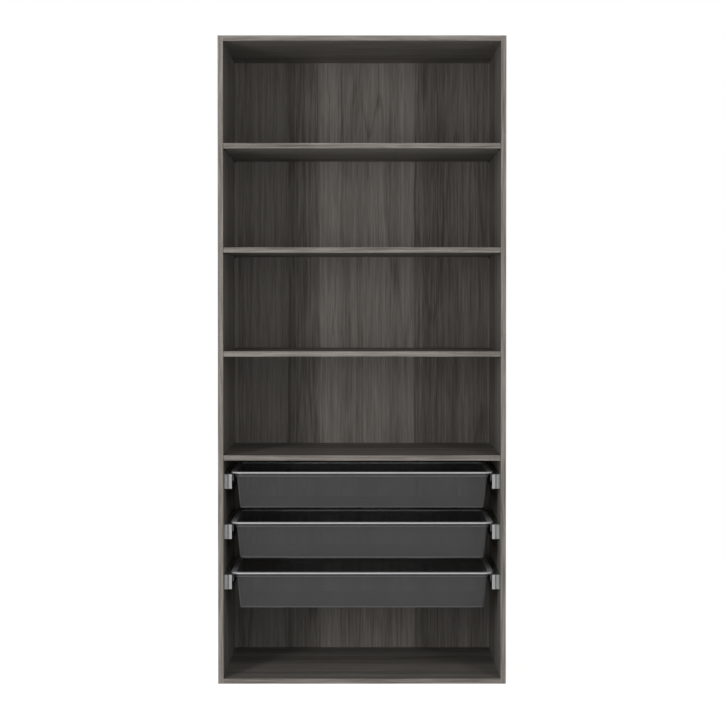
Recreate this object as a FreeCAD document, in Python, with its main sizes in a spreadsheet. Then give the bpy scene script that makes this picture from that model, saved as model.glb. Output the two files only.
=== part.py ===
"""Open wardrobe frame: a board carcass with four shelves and three mesh baskets that pull out.

The frame stands on z = 0, centred on x = 0 and y = 0, with its open front towards -Y.
Sizes are in millimetres.
"""
import FreeCAD, Part
import math
import os
import re
import Sketcher
from FreeCAD import Placement, Rotation, Vector

SHELVES = 4
LEVELS = ("upper", "middle", "lower")
SIDES = (("left", -1), ("right", 1))
BALLS_PER_ROW = 8

# Shelves share the height between the lowest one and the highest one evenly.
SHELF_SHARE = (
    f"=(frame_height - panel_thickness - top_space - lowest_shelf_height) / {SHELVES - 1}"
)

# The upper basket hangs below the lowest shelf.
UPPER_RUNNERS = "=lowest_shelf_height - basket_headroom"

# Sizes: alias, value or formula, what it measures.
SIZES = (
    ("frame_width", 1000, "outside width"),
    ("frame_depth", 580, "outside depth"),
    ("frame_height", 2250, "outside height"),
    ("panel_thickness", 18, "board thickness"),
    ("edging_thickness", 1, "edging strip on each front edge"),
    ("back_thickness", 4, "back panel"),
    ("back_inset", 12, "back panel in from the rear edges"),
    ("groove_depth", 8, "groove that holds the back panel"),
    ("groove_play", 0.2, "play on each face of the back panel"),
    ("back_edge_play", 1, "gap at the floor of the groove"),
    ("lowest_shelf_height", 777, "floor to the underside of the lowest shelf"),
    ("top_space", 372, "underside of the highest shelf to the underside of the top"),
    ("shelf_pitch", SHELF_SHARE, "shelf to shelf"),
    ("shelf_setback", 2, "shelf front behind the frame front"),
    ("shelf_end_play", 1, "gap at each end of a shelf"),
    ("shelf_back_play", 2, "gap behind a shelf"),
    ("hole_row_setback", 37, "hole rows from the front and from the back panel"),
    ("hole_pitch", 32, "hole to hole"),
    ("system_hole_diameter", 5, "shelf pin, hinge and runner holes"),
    ("system_hole_depth", 13, "depth of those holes"),
    ("shelf_hole_count", 5, "heights that each shelf can take"),
    ("hinge_end_height", 100, "hinge plate from the top and from the floor"),
    ("pin_length", 18, "shelf pin"),
    ("pin_embedded", 10, "part of a shelf pin in the board"),
    ("fit_play", 0.1, "play on the radius of pins, dowels and bolts"),
    ("end_play", 1, "play at the end of blind holes"),
    ("tip_chamfer", 0.6, "chamfer on pins, dowels and screw tips"),
    ("connector_setback", 60, "corner connectors from the front and rear edges"),
    ("dowel_spacing", 50, "corner connector to the dowel beside it"),
    ("dowel_diameter", 8, "wooden dowel"),
    ("dowel_length", 30, "wooden dowel"),
    ("dowel_in_side", 11, "part of a dowel in the side panel"),
    ("cam_diameter", 15, "cam lock"),
    ("cam_height", 12.5, "cam lock"),
    ("cam_distance", 34, "cam lock centre from the end of the board"),
    ("cam_bore_diameter", 8, "bolt bore in the board end and in the cam"),
    ("cam_slot_length", 9, "drive slot"),
    ("cam_slot_width", 1.6, "drive slot"),
    ("cam_slot_depth", 2, "drive slot"),
    ("bolt_thread_diameter", 5, "cam bolt in the side panel"),
    ("bolt_thread_length", 11, "cam bolt in the side panel"),
    ("bolt_shank_diameter", 6, "cam bolt"),
    ("bolt_neck_diameter", 4, "cam bolt behind its head"),
    ("bolt_neck_length", 3, "cam bolt behind its head"),
    ("bolt_head_diameter", 7, "cam bolt"),
    ("bolt_head_length", 4, "cam bolt"),
    ("bolt_reach", 31, "cam bolt out of the side panel"),
    ("runner_setback", 38, "runner ends behind the frame front"),
    ("basket_headroom", 76.5, "middle of the upper runners to the lowest shelf"),
    ("top_runner_height", UPPER_RUNNERS, "floor to the middle of the upper runners"),
    ("runner_pitch", 176, "basket to basket"),
    ("runner_height", 51, "outer rail, carrier and end cap"),
    ("rail_length", 396, "outer rail and carrier"),
    ("middle_length", 380, "middle rail"),
    ("inner_length", 390, "inner rail"),
    ("slide_width", 12, "side panel to the back of the carrier"),
    ("outer_gauge", 1.5, "sheet of the outer rail"),
    ("outer_depth", 10.5, "outer rail flange"),
    ("outer_lip", 2.5, "turned edge of the outer rail"),
    ("race_gauge", 1.2, "sheet of the middle and inner rails"),
    ("web_gap", 0.8, "outer web to middle web"),
    ("middle_depth", 7.7, "middle rail flange"),
    ("inner_depth", 6.5, "inner rail flange"),
    ("outer_ball", 3.5, "ball between the outer and middle rails"),
    ("inner_ball", 2.6, "ball between the middle and inner rails"),
    ("ball_play", 0.25, "ball to each race"),
    ("cage_length", 180, "ball cage"),
    ("cage_setback", 97.5, "ball cage behind the rail front"),
    ("cage_gauge", 1.2, "ball cage strip"),
    ("cage_wall", 0.7, "cage strip beside a ball"),
    ("screw_head_diameter", 8, "runner screw"),
    ("screw_recess", 0.1, "screw head below the face of the web"),
    ("screw_length", 11, "runner screw in the board"),
    ("screw_inset", 36, "end screws from the rail ends"),
    ("carrier_width", 15, "basket carrier"),
    ("carrier_gauge", 1.5, "basket carrier sheet"),
    ("rivet_diameter", 4, "rivet"),
    ("rivet_head_diameter", 7, "rivet"),
    ("rivet_head_height", 1, "rivet"),
    ("rivet_inset", 40, "end rivets from the carrier ends"),
    ("cap_thickness", 4, "runner end cap"),
    ("cap_gap", 0.5, "end cap to the outer rail"),
    ("cap_side_gap", 0.4, "end cap to the side panel"),
    ("cap_groove_width", 3, "groove between the two faces of the cap"),
    ("cap_groove_depth", 2.4, "groove between the two faces of the cap"),
    ("cap_rounding", 1, "edges of the cap"),
    ("clip_inset", 4, "clips from the corners of the rim"),
    ("clip_length", 12, "basket clip"),
    ("clip_gauge", 1.5, "basket clip sheet"),
    ("clip_reach", 10, "clip foot under the carrier flange"),
    ("clip_drop", 28, "clip tongue below the carrier flange"),
    ("clip_gap", 0.3, "clip tongue to the carrier edge and to the rim"),
    ("basket_setback", 2, "basket rim behind the front of the caps"),
    ("basket_length", 394, "basket rim, front to back"),
    ("rim_overlap", 5, "rim on top of each carrier"),
    ("rim_height", 7, "turned-down edge of the rim"),
    ("rim_edge", 3, "turned-down edge of the rim"),
    ("rim_flange", 17, "rim edge to the tub wall"),
    ("rim_gauge", 2, "flange of the rim"),
    ("rim_corner_radius", 36, "outer corner of the rim"),
    ("rim_rounding", 1.2, "top edge of the rim"),
    ("skirt_height", 15, "band of the rim round the top of the tub"),
    ("skirt_gauge", 1.2, "band of the rim round the top of the tub"),
    ("tub_play", 0.2, "tub to the band round it"),
    ("tub_depth", 125, "flange to the underside of the tub"),
    ("tub_taper", 16, "tub wall in towards the floor"),
    ("tub_wall", 1, "mesh sheet"),
    ("tub_foot_radius", 4, "upright corner of the tub at its floor"),
    ("tub_floor_radius", 2.5, "bend from wall to floor"),
)


# Places that several pieces share, written with the aliases above.
INNER_HALF = "(frame_width / 2 - panel_thickness)"
FRONT = "(-frame_depth / 2)"
REAR = "(frame_depth / 2)"
BACK_FACE = f"({REAR} - back_inset - back_thickness)"
FRONT_ROW = f"({FRONT} + hole_row_setback)"
REAR_ROW = f"({BACK_FACE} - hole_row_setback)"
CAP_FRONT = f"({FRONT} + runner_setback)"
CARRIER_FRONT = f"({CAP_FRONT} + cap_thickness)"
RAIL_FRONT = f"({CARRIER_FRONT} + cap_gap)"
RUNNER_WIDTH = "(slide_width + carrier_width)"
HALF_RUNNER = "(runner_height / 2)"
PIN_RADIUS = "(system_hole_diameter / 2 - fit_play)"
CONNECTOR_ROWS = (f"({FRONT} + connector_setback)", f"({REAR} - connector_setback)")
DOWEL_ROWS = (
    f"({FRONT} + connector_setback + dowel_spacing)",
    f"({REAR} - connector_setback - dowel_spacing)",
)

# Heights of the ball races above the middle of a runner, from the outside in.
OUTER_RACE = f"({HALF_RUNNER} - outer_gauge)"
OUTER_BALL_ROW = f"({OUTER_RACE} - ball_play - outer_ball / 2)"
MIDDLE_OUTSIDE = f"({OUTER_RACE} - 2 * ball_play - outer_ball)"
MIDDLE_INSIDE = f"({MIDDLE_OUTSIDE} - race_gauge)"
INNER_BALL_ROW = f"({MIDDLE_INSIDE} - ball_play - inner_ball / 2)"
INNER_OUTSIDE = f"({MIDDLE_INSIDE} - 2 * ball_play - inner_ball)"
INNER_INSIDE = f"({INNER_OUTSIDE} - race_gauge)"

# Distances from the side panel across a runner.
MIDDLE_WEB = "(outer_gauge + web_gap)"
OUTER_BALL_LINE = "(outer_depth / 2)"
INNER_WEB = "(slide_width - race_gauge)"
INNER_BALL_LINE = f"(({MIDDLE_WEB} + middle_depth + slide_width - inner_depth) / 2)"

# Basket places: half widths from the middle, heights above the middle of its runners.
RIM_HALF = f"({INNER_HALF} - {RUNNER_WIDTH} + rim_overlap)"
RIM_FRONT = f"({CAP_FRONT} + basket_setback)"
RIM_TOP = f"({HALF_RUNNER} + rim_height)"
FLANGE_UNDERSIDE = f"({RIM_TOP} - rim_gauge)"

doc = FreeCAD.newDocument("wardrobe_frame")
sheet = doc.addObject("Spreadsheet::Sheet", "Sizes")
for row, (alias, value, meaning) in enumerate(SIZES, start=1):
    sheet.set(f"A{row}", meaning)
    sheet.set(f"B{row}", str(value))
    sheet.setAlias(f"B{row}", alias)
doc.recompute()

NAMES = {alias for alias, value, meaning in SIZES}
WORD = re.compile(r"[a-z_]+")
nodes = []


def tied(text):
    """An expression with each alias in it written as a cell of the sheet."""
    return WORD.sub(lambda word: "Sizes." + word[0] if word[0] in NAMES else word[0], text)


def value_of(text):
    """The present value of an expression."""
    return float(sheet.evalExpression(tied(text)))


def signed(side, text):
    """The expression on the left (-1) or on the right (1)."""
    return f"{side} * ({text})"


def runner_height_of(level):
    """Height of the middle of the runners of a basket, counted from the upper one."""
    return f"top_runner_height - {level} * runner_pitch"


def place(item, x, y, z):
    """Bind an object's position to the sheet."""
    item.setExpression("Placement.Base.x", tied(x))
    item.setExpression("Placement.Base.y", tied(y))
    item.setExpression("Placement.Base.z", tied(z))


def body(label, x="0", y="0", z="0"):
    """A new body at a place tied to the sheet."""
    item = doc.addObject("PartDesign::Body", label)
    place(item, x, y, z)
    return item


def sketch(item, role, offset="0"):
    """A sketch on one of the body's origin planes, moved along the plane's normal."""
    drawing = item.newObject("Sketcher::SketchObject", item.Name + "_sketch")
    plane = next(feature for feature in item.Origin.OriginFeatures if feature.Role == role)
    drawing.AttachmentSupport = [(plane, "")]
    drawing.MapMode = "FlatFace"
    drawing.setExpression("AttachmentOffset.Base.z", tied(offset))
    return drawing


def fix_point(drawing, geometry, vertex, x, y):
    """Tie a point of the sketch to its two distances from the sketch's origin."""
    for kind, text in (("DistanceX", x), ("DistanceY", y)):
        held = Sketcher.Constraint(kind, -1, 1, geometry, vertex, value_of(text))
        number = drawing.addConstraint(held)
        drawing.setExpression(f"Constraints[{number}]", tied(text))


def polygon(drawing, points):
    """A closed outline through points given as pairs of expressions."""
    first = drawing.GeometryCount
    count = len(points)
    start = [Vector(number, number * number, 0) for number in range(count)]
    drawing.addGeometry([Part.LineSegment(start[n], start[(n + 1) % count]) for n in range(count)])
    for number in range(count):
        following = first + (number + 1) % count
        drawing.addConstraint(Sketcher.Constraint("Coincident", first + number, 2, following, 1))
    for number, (x, y) in enumerate(points):
        fix_point(drawing, first + number, 1, x, y)
    return drawing


def rectangle(drawing, x_low, y_low, x_high, y_high):
    """A rectangle between two corners."""
    return polygon(drawing, ((x_low, y_low), (x_high, y_low), (x_high, y_high), (x_low, y_high)))


def rounded_rectangle(drawing, half, near, far, radius):
    """A rectangle across the Y axis with round corners."""
    left, right = f"-({half})", half
    inset = f"({radius})"
    corners = (
        (f"{right} - {inset}", near, right, f"{near} + {inset}", f"{right} - {inset}"),
        (right, f"{far} - {inset}", f"{right} - {inset}", far, f"{right} - {inset}"),
        (f"{left} + {inset}", far, left, f"{far} - {inset}", f"{left} + {inset}"),
        (left, f"{near} + {inset}", f"{left} + {inset}", near, f"{left} + {inset}"),
    )
    size = value_of(radius)
    spots = []
    for n, (x1, y1, x2, y2, middle) in enumerate(corners):
        centre = Vector(value_of(middle), value_of(y1 if n % 2 else y2), 0)
        turn = math.pi / 2 * (n - 1)
        circle = Part.Circle(centre, Vector(0, 0, 1), size)
        arc = drawing.addGeometry(Part.ArcOfCircle(circle, turn, turn + math.pi / 2))
        fix_point(drawing, arc, 1, x1, y1)
        fix_point(drawing, arc, 2, x2, y2)
        held = drawing.addConstraint(Sketcher.Constraint("DistanceX", -1, 1, arc, 3, centre.x))
        drawing.setExpression(f"Constraints[{held}]", tied(middle))
        spots.append((arc, Vector(value_of(x1), value_of(y1), 0), Vector(value_of(x2), value_of(y2), 0)))
    for n, (arc, start, end) in enumerate(spots):
        next_arc, next_start, next_end = spots[(n + 1) % len(spots)]
        line = drawing.addGeometry(Part.LineSegment(end, next_start))
        drawing.addConstraint(Sketcher.Constraint("Coincident", arc, 2, line, 1))
        drawing.addConstraint(Sketcher.Constraint("Coincident", line, 2, next_arc, 1))
    return drawing


def circles(drawing, diameter, centres):
    """Circles of one diameter."""
    for x, y in centres:
        number = drawing.addGeometry(Part.Circle(Vector(0, 0, 0), Vector(0, 0, 1), 1))
        fix_point(drawing, number, 3, x, y)
        size = drawing.addConstraint(Sketcher.Constraint("Diameter", number, 2.0))
        drawing.setExpression(f"Constraints[{size}]", tied(diameter))
    return drawing


def pad(item, drawing, length, backwards=False):
    """Material along the sketch's normal, or against it."""
    feature = item.newObject("PartDesign::Pad", item.Name + "_pad")
    feature.Profile = drawing
    feature.Reversed = backwards
    feature.setExpression("Length", tied(length))
    return feature


def pocket(item, drawing, depth, backwards=False, taper=0):
    """A cut against the sketch's normal, or along it, that has to remove material."""
    doc.recompute()
    before = item.Shape.Volume
    feature = item.newObject("PartDesign::Pocket", item.Name + "_pocket")
    feature.Profile = drawing
    feature.Reversed = backwards
    feature.TaperAngle = taper
    feature.setExpression("Length", tied(depth))
    doc.recompute()
    if not 0 < item.Shape.Volume < before:
        raise RuntimeError(f"{item.Name}: a pocket removes nothing")
    return feature


def row_of(item, feature, drawing, axis, length, count):
    """Repeat a feature in a straight row along an axis of its sketch."""
    pattern = item.newObject("PartDesign::LinearPattern", item.Name + "_row")
    pattern.Originals = [feature]
    pattern.Direction = (drawing, [axis])
    pattern.setExpression("Length", tied(length))
    pattern.setExpression("Occurrences", tied(count))
    item.Tip = pattern
    return pattern


def fillet(item, radius, wanted):
    """Round the edges of the body that a test picks."""
    doc.recompute()
    edges = [f"Edge{n}" for n, edge in enumerate(item.Shape.Edges, start=1) if wanted(edge)]
    feature = item.newObject("PartDesign::Fillet", item.Name + "_fillet")
    feature.Base = (item.Tip if item.Tip is not feature else feature.BaseFeature, edges)
    feature.setExpression("Radius", tied(radius))
    item.Tip = feature
    doc.recompute()
    return feature


def turned(label, points):
    """A body turned round the X axis from a half outline."""
    item = body(label)
    drawing = polygon(sketch(item, "XY_Plane"), points)
    feature = item.newObject("PartDesign::Revolution", label + "_turn")
    feature.Profile = drawing
    feature.ReferenceAxis = (drawing, ["H_Axis"])
    feature.Angle = 360
    return item


def box(label, low, size):
    """A plain board or strip from its low corner and its three lengths."""
    item = doc.addObject("Part::Box", label)
    for name, text in zip(("Length", "Width", "Height"), size):
        item.setExpression(name, tied(text))
    place(item, *low)
    return item


def copies(pattern, spots):
    """Copies of one piece, each at a place with a turn about Z in degrees."""
    made = []
    for x, y, z, turn in spots:
        copy = doc.addObject("App::Link", pattern.Name + "_copy")
        copy.LinkedObject = pattern
        copy.Placement = Placement(Vector(0, 0, 0), Rotation(Vector(0, 0, 1), turn))
        place(copy, x, y, z)
        made.append(copy)
    return made


def group(label, pieces):
    """Several separate solids kept as one sub-part."""
    item = doc.addObject("Part::Compound", label)
    item.Links = pieces
    keep(item)
    return item


def keep(item):
    """Note a finished sub-part."""
    nodes.append(item)
    return item


def facing(side):
    """Turn that points a piece made for the left side inwards from either side."""
    return 0 if side < 0 else 180


def runner_screw_rows():
    """Distances of the runner screws behind the front of an outer rail."""
    return "screw_inset", "rail_length / 2", "rail_length - screw_inset"


def hinge_heights():
    """Middle heights of the hinge plates that a door would need."""
    return (
        "hinge_end_height",
        f"{runner_height_of(0)} - runner_pitch / 2",
        "lowest_shelf_height + shelf_pitch * 1.6",
        "frame_height - hinge_end_height",
    )


def side_panel(name, side):
    """A full-height side with its groove and all its holes on the inner face."""
    item = body(f"{name}_side_panel", x=signed(side, INNER_HALF))
    inward = side > 0
    outline = rectangle(
        sketch(item, "YZ_Plane"), f"{FRONT} + edging_thickness", "0", REAR, "frame_height"
    )
    pad(item, outline, "panel_thickness", side < 0)
    groove = rectangle(
        sketch(item, "YZ_Plane"),
        f"{BACK_FACE} - groove_play",
        "0",
        f"{BACK_FACE} + back_thickness + groove_play",
        "frame_height",
    )
    pocket(item, groove, "groove_depth", inward)

    pin_spots = []
    for number in range(SHELVES):
        lowest = f"lowest_shelf_height + {number} * shelf_pitch - {PIN_RADIUS} - hole_pitch"
        pin_spots += [(FRONT_ROW, lowest), (REAR_ROW, lowest)]
    drawing = circles(sketch(item, "YZ_Plane"), "system_hole_diameter", pin_spots)
    holes = pocket(item, drawing, "system_hole_depth", inward)
    row_of(item, holes, drawing, "V_Axis", "(shelf_hole_count - 1) * hole_pitch", "shelf_hole_count")

    hinge_spots = [(FRONT_ROW, f"{height} - hole_pitch / 2") for height in hinge_heights()]
    drawing = circles(sketch(item, "YZ_Plane"), "system_hole_diameter", hinge_spots)
    holes = pocket(item, drawing, "system_hole_depth", inward)
    row_of(item, holes, drawing, "V_Axis", "hole_pitch", "2")

    lowest = runner_height_of(len(LEVELS) - 1)
    screw_spots = [(f"{RAIL_FRONT} + {row}", lowest) for row in runner_screw_rows()]
    drawing = circles(sketch(item, "YZ_Plane"), "system_hole_diameter", screw_spots)
    holes = pocket(item, drawing, "system_hole_depth", inward)
    runners = len(LEVELS)
    row_of(item, holes, drawing, "V_Axis", f"{runners - 1} * runner_pitch", f"{runners}")

    corner_heights = ("panel_thickness / 2", "frame_height - panel_thickness / 2")
    bolt_spots = [(row, height) for row in CONNECTOR_ROWS for height in corner_heights]
    drawing = circles(sketch(item, "YZ_Plane"), "bolt_thread_diameter + 2 * fit_play", bolt_spots)
    pocket(item, drawing, "bolt_thread_length + end_play", inward)
    dowel_spots = [(row, height) for row in DOWEL_ROWS for height in corner_heights]
    drawing = circles(sketch(item, "YZ_Plane"), "dowel_diameter", dowel_spots)
    pocket(item, drawing, "dowel_in_side + end_play", inward)
    return keep(item)


def cross_panel(label, height, groove_offset, groove_upwards):
    """The top or bottom board between the sides, with cam seats in its underside."""
    item = body(label, z=height)
    low_x = f"-{INNER_HALF}"
    outline = rectangle(
        sketch(item, "XY_Plane"), low_x, f"{FRONT} + edging_thickness", INNER_HALF, REAR
    )
    pad(item, outline, "panel_thickness")
    groove = rectangle(
        sketch(item, "XY_Plane", groove_offset),
        low_x,
        f"{BACK_FACE} - groove_play",
        INNER_HALF,
        f"{BACK_FACE} + back_thickness + groove_play",
    )
    pocket(item, groove, "groove_depth", groove_upwards)
    seats = [
        (signed(side, f"{INNER_HALF} - cam_distance"), row)
        for name, side in SIDES
        for row in CONNECTOR_ROWS
    ]
    drawing = circles(sketch(item, "XY_Plane"), "cam_diameter + 2 * fit_play", seats)
    pocket(item, drawing, "cam_height + end_play", True)
    middle = "panel_thickness / 2"
    for name, side in SIDES:
        end = signed(side, INNER_HALF)
        bores = [(row, middle) for row in CONNECTOR_ROWS]
        drawing = circles(sketch(item, "YZ_Plane", end), "cam_bore_diameter", bores)
        pocket(item, drawing, "cam_distance", side < 0)
        bores = [(row, middle) for row in DOWEL_ROWS]
        drawing = circles(sketch(item, "YZ_Plane", end), "dowel_diameter", bores)
        pocket(item, drawing, "dowel_length - dowel_in_side + end_play", side < 0)
    return keep(item)


def corner_joints():
    """Cam bolts, cam locks and dowels at the four corners of the carcass."""
    bolt_radii = ("bolt_thread_diameter / 2", "bolt_shank_diameter / 2", "bolt_neck_diameter / 2")
    neck = "bolt_reach - bolt_head_length"
    shank = f"{neck} - bolt_neck_length"
    bolt = turned("cam_bolt", (
        ("-bolt_thread_length", "0"),
        ("-bolt_thread_length", f"{bolt_radii[0]} - tip_chamfer"),
        ("-bolt_thread_length + tip_chamfer", bolt_radii[0]),
        ("0", bolt_radii[0]),
        ("0", bolt_radii[1]),
        (shank, bolt_radii[1]),
        (shank, bolt_radii[2]),
        (neck, bolt_radii[2]),
        (neck, "bolt_head_diameter / 2"),
        ("bolt_reach - tip_chamfer", "bolt_head_diameter / 2"),
        ("bolt_reach", "bolt_head_diameter / 2 - tip_chamfer"),
        ("bolt_reach", "0"),
    ))
    dowel_radius = "dowel_diameter / 2 - fit_play"
    dowel_end = "dowel_length - dowel_in_side"
    dowel = turned("dowel", (
        ("-dowel_in_side", "0"),
        ("-dowel_in_side", f"{dowel_radius} - tip_chamfer"),
        ("-dowel_in_side + tip_chamfer", dowel_radius),
        (f"{dowel_end} - tip_chamfer", dowel_radius),
        (dowel_end, f"{dowel_radius} - tip_chamfer"),
        (dowel_end, "0"),
    ))
    cam = body("cam_lock")
    pad(cam, circles(sketch(cam, "XY_Plane"), "cam_diameter", (("0", "0"),)), "cam_height")
    rim = "cam_diameter / 2 + end_play"
    drawing = circles(
        sketch(cam, "YZ_Plane", f"-({rim})"), "cam_bore_diameter", (("0", "panel_thickness / 2"),)
    )
    pocket(cam, drawing, f"{rim} + end_play", True)
    reach = "cam_slot_length / 2"
    thin = "cam_slot_width / 2"
    cross = (
        (f"-{reach}", f"-{thin}"), (f"-{thin}", f"-{thin}"), (f"-{thin}", f"-{reach}"),
        (thin, f"-{reach}"), (thin, f"-{thin}"), (reach, f"-{thin}"),
        (reach, thin), (thin, thin), (thin, reach),
        (f"-{thin}", reach), (f"-{thin}", thin), (f"-{reach}", thin),
    )
    pocket(cam, polygon(sketch(cam, "XY_Plane"), cross), "cam_slot_depth", True)

    bolt_spots = []
    dowel_spots = []
    cam_spots = []
    for board in ("0", "frame_height - panel_thickness"):
        middle = f"{board} + panel_thickness / 2"
        for name, side in SIDES:
            face = signed(side, INNER_HALF)
            seat = signed(side, f"{INNER_HALF} - cam_distance")
            bolt_spots += [(face, row, middle, facing(side)) for row in CONNECTOR_ROWS]
            dowel_spots += [(face, row, middle, facing(side)) for row in DOWEL_ROWS]
            cam_spots += [(seat, row, board, facing(side)) for row in CONNECTOR_ROWS]
    group("cam_bolts", copies(bolt, bolt_spots))
    group("cam_locks", copies(cam, cam_spots))
    group("corner_dowels", copies(dowel, dowel_spots))


def shelves():
    """Four boards on pins, and the pins."""
    half = f"({INNER_HALF} - shelf_end_play)"
    front = f"({FRONT} + shelf_setback + edging_thickness)"
    depth = f"{BACK_FACE} - shelf_back_play - {front}"
    for number in range(SHELVES):
        height = f"lowest_shelf_height + {number} * shelf_pitch"
        size = (f"2 * {half}", depth, "panel_thickness")
        keep(box(f"shelf_{number + 1}", (f"-{half}", front, height), size))
    tip = "pin_length - pin_embedded"
    pin = turned("shelf_pin", (
        ("-pin_embedded", "0"),
        ("-pin_embedded", f"{PIN_RADIUS} - tip_chamfer"),
        ("-pin_embedded + tip_chamfer", PIN_RADIUS),
        (f"{tip} - tip_chamfer", PIN_RADIUS),
        (tip, f"{PIN_RADIUS} - tip_chamfer"),
        (tip, "0"),
    ))
    spots = []
    for number in range(SHELVES):
        height = f"lowest_shelf_height + {number} * shelf_pitch - {PIN_RADIUS}"
        for name, side in SIDES:
            for row in (FRONT_ROW, REAR_ROW):
                spots.append((signed(side, INNER_HALF), row, height, facing(side)))
    group("shelf_pins", copies(pin, spots))


def edging():
    """Strips on the front edges of the sides, the top, the bottom and the shelves."""
    strips = []
    for name, side in SIDES:
        low = "-frame_width / 2" if side < 0 else INNER_HALF
        size = ("panel_thickness", "edging_thickness", "frame_height")
        strips.append(box(f"{name}_strip", (low, FRONT, "0"), size))
    size = (f"2 * {INNER_HALF}", "edging_thickness", "panel_thickness")
    for name, height in (("bottom", "0"), ("top", "frame_height - panel_thickness")):
        strips.append(box(f"{name}_strip", (f"-{INNER_HALF}", FRONT, height), size))
    half = f"({INNER_HALF} - shelf_end_play)"
    size = (f"2 * {half}", "edging_thickness", "panel_thickness")
    for number in range(SHELVES):
        low = (f"-{half}", f"{FRONT} + shelf_setback", f"lowest_shelf_height + {number} * shelf_pitch")
        strips.append(box(f"shelf_{number + 1}_strip", low, size))
    group("front_edge_strips", strips)


def back_panel():
    """A thin panel held in the grooves of the four boards round it."""
    half = f"({INNER_HALF} + groove_depth - back_edge_play)"
    low = "panel_thickness - groove_depth + back_edge_play"
    size = (f"2 * {half}", "back_thickness", f"frame_height - 2 * ({low})")
    keep(box("back_panel", (f"-{half}", BACK_FACE, low), size))


def rail(label, side, level, points, front, length):
    """A rolled rail: its section in the XZ plane, measured inwards from the side panel."""
    item = body(label, signed(side, INNER_HALF), front, runner_height_of(level))
    section = [(signed(-side, across), up) for across, up in points]
    pad(item, polygon(sketch(item, "XZ_Plane"), section), length, True)
    return item


def mirrored(points):
    """An upper half section followed by the same points below the middle, in reverse."""
    return list(points) + [(across, f"-({up})") for across, up in reversed(points)]


def outer_rail(name, side, level):
    """The rail on the side panel: a channel with turned lips and countersunk holes."""
    lip_foot = f"{OUTER_RACE} - outer_lip"
    lip_face = "outer_depth - outer_gauge"
    points = mirrored((
        ("outer_gauge", OUTER_RACE),
        (lip_face, OUTER_RACE),
        (lip_face, lip_foot),
        ("outer_depth", lip_foot),
        ("outer_depth", HALF_RUNNER),
        ("0", HALF_RUNNER),
    ))
    item = rail(f"{LEVELS[level]}_{name}_outer_rail", side, level, points, RAIL_FRONT, "rail_length")
    spots = [(row, "0") for row in runner_screw_rows()]
    drawing = circles(
        sketch(item, "YZ_Plane", signed(-side, "outer_gauge")),
        "screw_head_diameter + 2 * fit_play",
        spots,
    )
    pocket(item, drawing, "outer_gauge", side > 0, -45)
    return keep(item)


def middle_rail(name, side, level):
    """The rail between the two rows of balls."""
    points = mirrored((
        (f"{MIDDLE_WEB} + race_gauge", MIDDLE_INSIDE),
        (f"{MIDDLE_WEB} + middle_depth", MIDDLE_INSIDE),
        (f"{MIDDLE_WEB} + middle_depth", MIDDLE_OUTSIDE),
        (MIDDLE_WEB, MIDDLE_OUTSIDE),
    ))
    label = f"{LEVELS[level]}_{name}_middle_rail"
    return keep(rail(label, side, level, points, RAIL_FRONT, "middle_length"))


def rivet_rows():
    """Distances of the rivets behind the front of a carrier."""
    return "rivet_inset", "inner_length / 2", "inner_length - rivet_inset"


def riveted(item, side, across):
    """Rivet holes through the web of a rail."""
    spots = [(row, "0") for row in rivet_rows()]
    drawing = circles(
        sketch(item, "YZ_Plane", signed(-side, across)), "rivet_diameter + 2 * fit_play", spots
    )
    pocket(item, drawing, "slide_width / 2", side < 0)
    return keep(item)


def inner_rail(name, side, level):
    """The rail that moves with the basket, open towards the side panel."""
    points = mirrored((
        (INNER_WEB, INNER_INSIDE),
        ("slide_width - inner_depth", INNER_INSIDE),
        ("slide_width - inner_depth", INNER_OUTSIDE),
        ("slide_width", INNER_OUTSIDE),
    ))
    label = f"{LEVELS[level]}_{name}_inner_rail"
    item = rail(label, side, level, points, CARRIER_FRONT, "inner_length")
    return riveted(item, side, "slide_width / 2")


def carrier(name, side, level):
    """The channel that the basket rim rests on, open towards the basket."""
    points = mirrored((
        ("slide_width + carrier_gauge", f"{HALF_RUNNER} - carrier_gauge"),
        (RUNNER_WIDTH, f"{HALF_RUNNER} - carrier_gauge"),
        (RUNNER_WIDTH, HALF_RUNNER),
        ("slide_width", HALF_RUNNER),
    ))
    label = f"{LEVELS[level]}_{name}_carrier"
    item = rail(label, side, level, points, CARRIER_FRONT, "rail_length")
    return riveted(item, side, "slide_width")


def end_caps(level):
    """Caps on the front ends of both runners, each with a groove down its face."""
    caps = []
    for name, side in SIDES:
        label = f"{LEVELS[level]}_{name}_end_cap"
        item = body(label, signed(side, INNER_HALF), CAP_FRONT, runner_height_of(level))
        near = signed(-side, "cap_side_gap")
        far = signed(-side, RUNNER_WIDTH)
        outline = rectangle(sketch(item, "XZ_Plane"), near, f"-{HALF_RUNNER}", far, HALF_RUNNER)
        pad(item, outline, "cap_thickness", True)
        groove = rectangle(
            sketch(item, "XZ_Plane"),
            signed(-side, "slide_width"),
            f"-{HALF_RUNNER}",
            signed(-side, "slide_width + cap_groove_width"),
            HALF_RUNNER,
        )
        pocket(item, groove, "cap_groove_depth")
        fillet(item, "cap_rounding", lambda edge: edge.BoundBox.YMax < item.Shape.BoundBox.YMin + 0.01)
        caps.append(item)
    group(f"{LEVELS[level]}_runner_caps", caps)


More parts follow.
